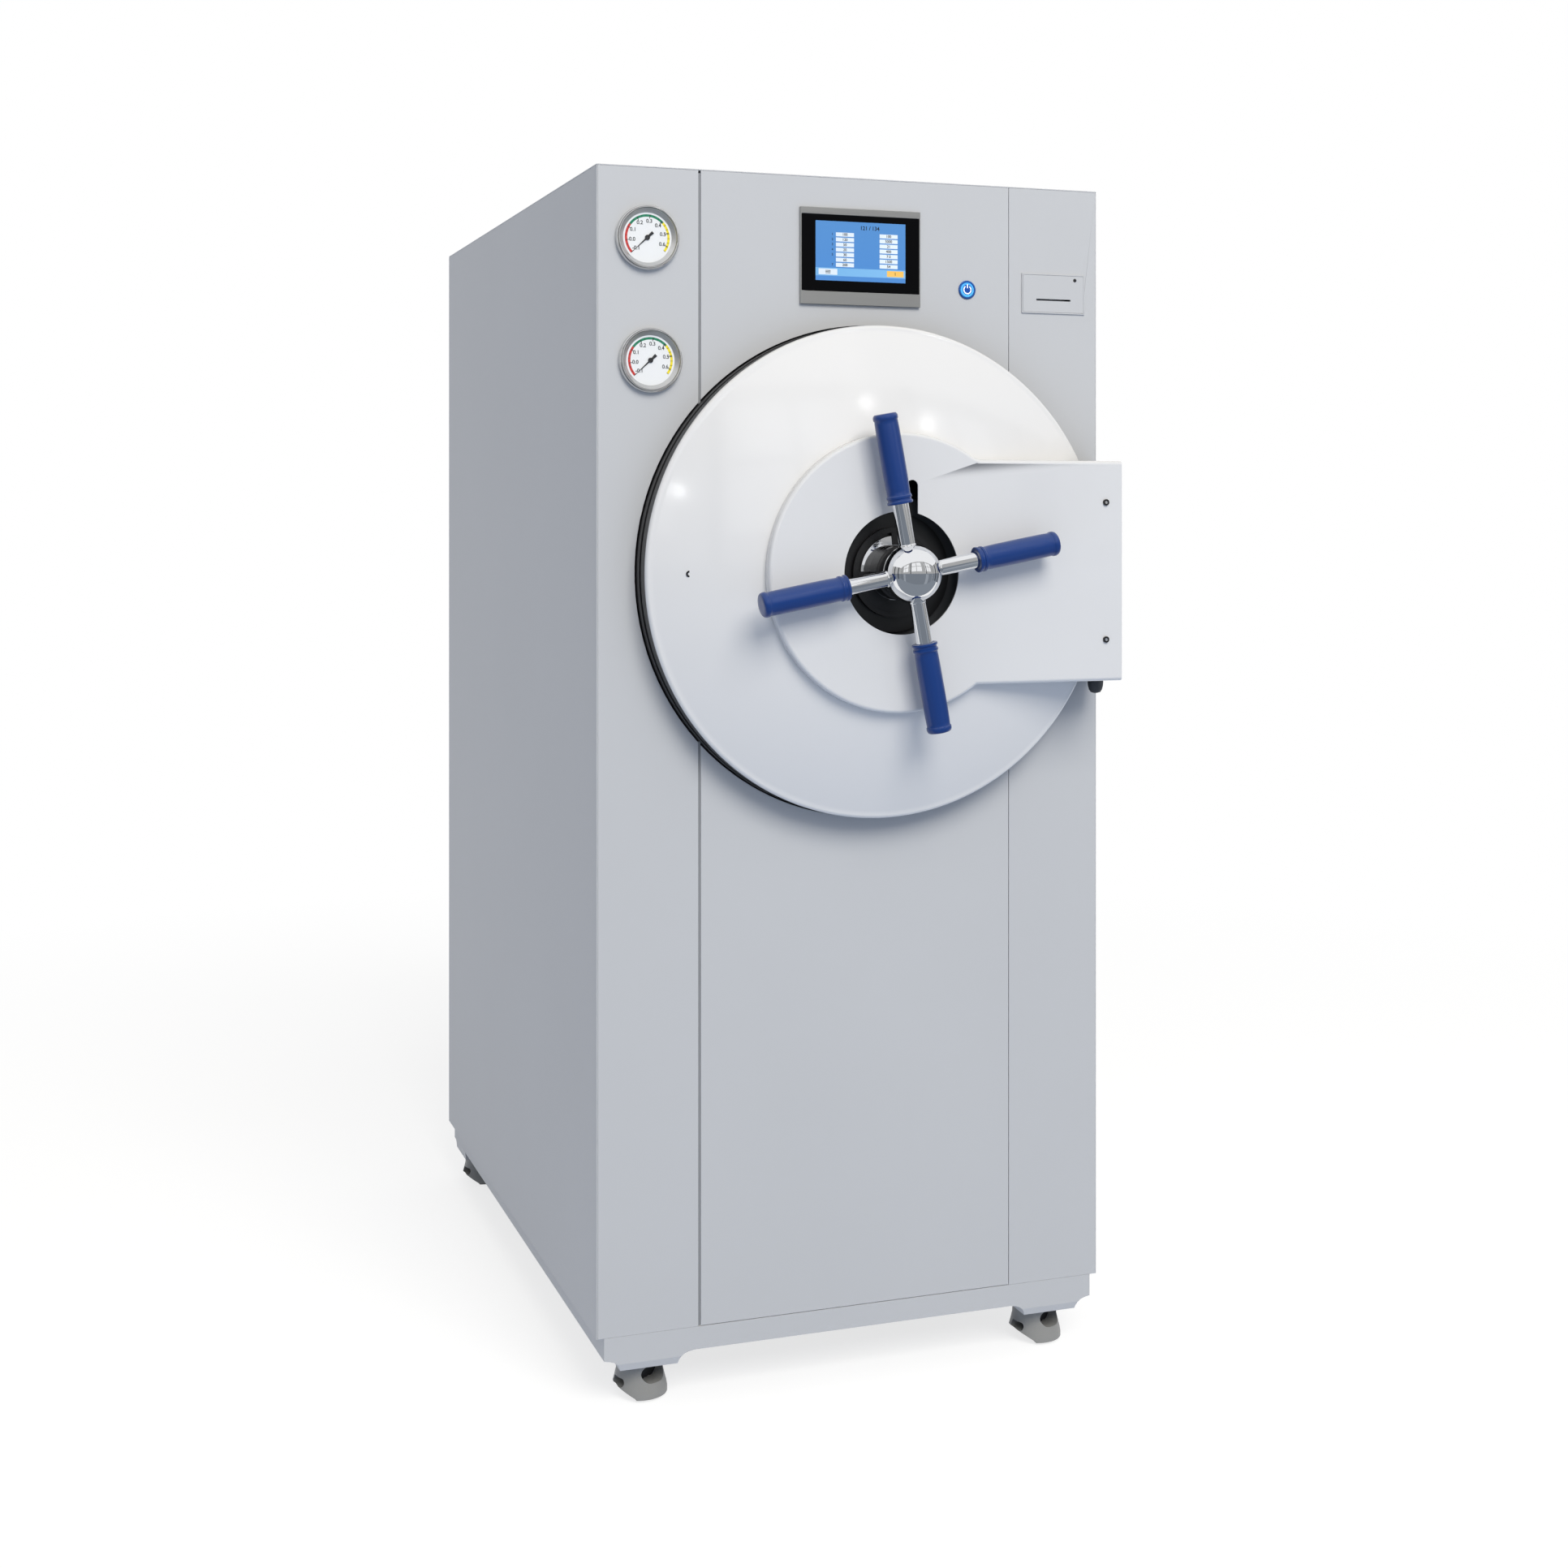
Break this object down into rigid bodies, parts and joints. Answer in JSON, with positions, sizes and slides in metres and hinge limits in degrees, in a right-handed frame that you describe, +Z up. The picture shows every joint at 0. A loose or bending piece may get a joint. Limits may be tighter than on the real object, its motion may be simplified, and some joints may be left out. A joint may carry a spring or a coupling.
{
  "type": "horizontal autoclave",
  "caption": "Horizontal steam steriliser on casters: round swing door with four-spoke handwheel and radial lock bolts, gauges, touch panel and printer.",
  "frame": {"origin": "middle of the footprint, on the floor", "axes": "+Z up; -Y out of the front, towards the user; +X to the right as the user sees the front"},
  "size_m": [0.85, 1.487, 1.904],
  "materials": {
    "panel_paint": "satin powder coat, light grey",
    "frame_paint": "matt paint, dark grey",
    "vessel_steel": "stainless steel, satin",
    "black_paint": "satin black paint",
    "white_gloss": "gloss white paint",
    "arm_gloss": "gloss pale grey paint",
    "seal_rubber": "moulded silicone rubber",
    "chrome": "polished",
    "bright_steel": "machined",
    "grip_blue": "ribbed moulded plastic, royal blue",
    "caster_grey": "moulded plastic, mid grey",
    "tyre_rubber": "moulded rubber",
    "pump_paint": "painted casting, blue",
    "valve_brass": "brass bodies",
    "pipe_steel": "stainless tube",
    "box_paint": "textured powder coat",
    "dial_white": "printed plate, white with coloured arcs",
    "clear_glass": "clear, polished",
    "needle_black": "matt black",
    "touch_metal": "brushed",
    "touch_black": "black glass with a lit blue screen",
    "button_blue": "lit blue cap with a white power sign",
    "key_black": "moulded plastic, black",
    "paper_white": "wound paper"
  },
  "bodies": {
    "cabinet": {"base_frame": "frame_paint", "plinth": "panel_paint", "left_side_panel": "panel_paint", "right_side_panel": "panel_paint", "top_panel": "panel_paint", "rear_panel": "panel_paint", "front_left_column": "panel_paint", "front_upper_panel": "panel_paint", "front_lower_panel": "panel_paint", "front_right_column": "panel_paint", "chamber_shell": "vessel_steel", "steam_jacket": "vessel_steel", "flange_ring": "black_paint", "door_gasket": "seal_rubber", "steam_generator": "vessel_steel", "pump_set": "pump_paint", "valve_group": "valve_brass", "pipework": "pipe_steel", "control_box": "box_paint", "gauge_cases": "chrome", "gauge_dials": "dial_white", "gauge_glasses": "clear_glass", "touch_frame": "touch_metal", "touch_glass": "touch_black", "power_button_ring": "button_blue", "printer_housing": "panel_paint", "hinge_brackets": "frame_paint"},
    "door": {"door_plate": "vessel_steel", "door_frame": "black_paint", "door_cover": "white_gloss", "door_arm": "frame_paint", "arm_cover": "arm_gloss", "cover_screws": "chrome", "hub_casting": "black_paint"},
    "handwheel": {"scroll_spindle": "bright_steel", "hub_collar": "black_paint", "handwheel_spider": "chrome", "handwheel_grips": "grip_blue"},
    "rack": {"loading_rack": "vessel_steel"},
    "upper_needle": {"upper_gauge_needle": "needle_black"},
    "lower_needle": {"lower_gauge_needle": "needle_black"},
    "power_cap": {"power_button": "button_blue"},
    "printer_lid": {"printer_cover": "panel_paint"},
    "feed_key": {"printer_feed_button": "key_black"},
    "roll": {"paper_roll": "paper_white"},
    "latch": {"interlock_latch": "black_paint"},
    "front_left_caster": {"front_left_hood": "caster_grey"},
    "front_left_roller": {"front_left_wheel": "tyre_rubber"},
    "front_right_caster": {"front_right_hood": "caster_grey"},
    "front_right_roller": {"front_right_wheel": "tyre_rubber"},
    "rear_left_caster": {"rear_left_hood": "caster_grey"},
    "rear_left_roller": {"rear_left_wheel": "tyre_rubber"},
    "rear_right_caster": {"rear_right_hood": "caster_grey"},
    "rear_right_roller": {"rear_right_wheel": "tyre_rubber"},
    "bolt_1": {"lock_bolt_1": "bright_steel"},
    "bolt_2": {"lock_bolt_2": "bright_steel"},
    "bolt_3": {"lock_bolt_3": "bright_steel"},
    "bolt_4": {"lock_bolt_4": "bright_steel"},
    "bolt_5": {"lock_bolt_5": "bright_steel"},
    "bolt_6": {"lock_bolt_6": "bright_steel"}
  },
  "joints": [
    {"name": "door_swing", "type": "hinge", "parent": "cabinet", "child": "door", "pos_m": [0.4, -0.5765, 1.28], "axis": [0, 0, 1], "range_deg": [0, 110]},
    {"name": "handwheel_turn", "type": "hinge", "parent": "door", "child": "handwheel", "pos_m": [0.025, -0.6985, 1.28], "axis": [0, 1, 0], "range_deg": [0, 45]},
    {"name": "bolt_1_slide", "type": "slide", "parent": "door", "child": "bolt_1", "axis": [1, 0, 0], "range_m": [0, 0.026]},
    {"name": "bolt_2_slide", "type": "slide", "parent": "door", "child": "bolt_2", "axis": [0.5, 0, 0.866], "range_m": [0, 0.026]},
    {"name": "bolt_3_slide", "type": "slide", "parent": "door", "child": "bolt_3", "axis": [-0.5, 0, 0.866], "range_m": [0, 0.026]},
    {"name": "bolt_4_slide", "type": "slide", "parent": "door", "child": "bolt_4", "axis": [-1, 0, 0], "range_m": [0, 0.026]},
    {"name": "bolt_5_slide", "type": "slide", "parent": "door", "child": "bolt_5", "axis": [-0.5, 0, -0.866], "range_m": [0, 0.026]},
    {"name": "bolt_6_slide", "type": "slide", "parent": "door", "child": "bolt_6", "axis": [0.5, 0, -0.866], "range_m": [0, 0.026]},
    {"name": "latch_slide", "type": "slide", "parent": "door", "child": "latch", "axis": [0, 0, -1], "range_m": [0, 0.014], "stiffness_N_per_m": 400},
    {"name": "rack_slide", "type": "slide", "parent": "cabinet", "child": "rack", "axis": [0, -1, 0], "range_m": [0, 0.025]},
    {"name": "upper_needle_turn", "type": "hinge", "parent": "cabinet", "child": "upper_needle", "pos_m": [-0.346, -0.5358, 1.794], "axis": [0, 1, 0], "range_deg": [0, 245], "stiffness_Nm_per_rad": 0.02},
    {"name": "lower_needle_turn", "type": "hinge", "parent": "cabinet", "child": "lower_needle", "pos_m": [-0.341, -0.5358, 1.606], "axis": [0, 1, 0], "range_deg": [0, 245], "stiffness_Nm_per_rad": 0.02},
    {"name": "power_press", "type": "slide", "parent": "cabinet", "child": "power_cap", "axis": [0, 1, 0], "range_m": [0, 0.002], "stiffness_N_per_m": 800},
    {"name": "printer_cover_hinge", "type": "hinge", "parent": "cabinet", "child": "printer_lid", "pos_m": [0.3455, -0.5339, 1.7013], "axis": [1, 0, 0], "range_deg": [0, 90]},
    {"name": "feed_press", "type": "slide", "parent": "printer_lid", "child": "feed_key", "axis": [0, 1, 0], "range_m": [0, 0.001], "stiffness_N_per_m": 600},
    {"name": "paper_roll_spin", "type": "hinge", "parent": "cabinet", "child": "roll", "pos_m": [0.3455, -0.5005, 1.7315], "axis": [1, 0, 0], "continuous": true},
    {"name": "front_left_swivel", "type": "hinge", "parent": "cabinet", "child": "front_left_caster", "pos_m": [-0.341, -0.4715, 0.06], "axis": [0, 0, 1], "continuous": true},
    {"name": "front_left_roll", "type": "hinge", "parent": "front_left_caster", "child": "front_left_roller", "pos_m": [-0.33305, -0.46727, 0.023], "axis": [0.4695, -0.8829, 0], "continuous": true},
    {"name": "front_right_swivel", "type": "hinge", "parent": "cabinet", "child": "front_right_caster", "pos_m": [0.341, -0.4715, 0.06], "axis": [0, 0, 1], "continuous": true},
    {"name": "front_right_roll", "type": "hinge", "parent": "front_right_caster", "child": "front_right_roller", "pos_m": [0.34895, -0.46727, 0.023], "axis": [0.4695, -0.8829, 0], "continuous": true},
    {"name": "rear_left_swivel", "type": "hinge", "parent": "cabinet", "child": "rear_left_caster", "pos_m": [-0.363, 0.6485, 0.06], "axis": [0, 0, 1], "continuous": true},
    {"name": "rear_left_roll", "type": "hinge", "parent": "rear_left_caster", "child": "rear_left_roller", "pos_m": [-0.35505, 0.65272, 0.023], "axis": [0.4695, -0.8829, 0], "continuous": true},
    {"name": "rear_right_swivel", "type": "hinge", "parent": "cabinet", "child": "rear_right_caster", "pos_m": [0.363, 0.6485, 0.06], "axis": [0, 0, 1], "continuous": true},
    {"name": "rear_right_roll", "type": "hinge", "parent": "rear_right_caster", "child": "rear_right_roller", "pos_m": [0.37095, 0.65272, 0.023], "axis": [0.4695, -0.8829, 0], "continuous": true}
  ],
  "couplings": [
    {"joint": "bolt_1_slide", "follows": "handwheel_turn", "m_per_rad": 0.033104},
    {"joint": "bolt_2_slide", "follows": "handwheel_turn", "m_per_rad": 0.033104},
    {"joint": "bolt_3_slide", "follows": "handwheel_turn", "m_per_rad": 0.033104},
    {"joint": "bolt_4_slide", "follows": "handwheel_turn", "m_per_rad": 0.033104},
    {"joint": "bolt_5_slide", "follows": "handwheel_turn", "m_per_rad": 0.033104},
    {"joint": "bolt_6_slide", "follows": "handwheel_turn", "m_per_rad": 0.033104}
  ]
}
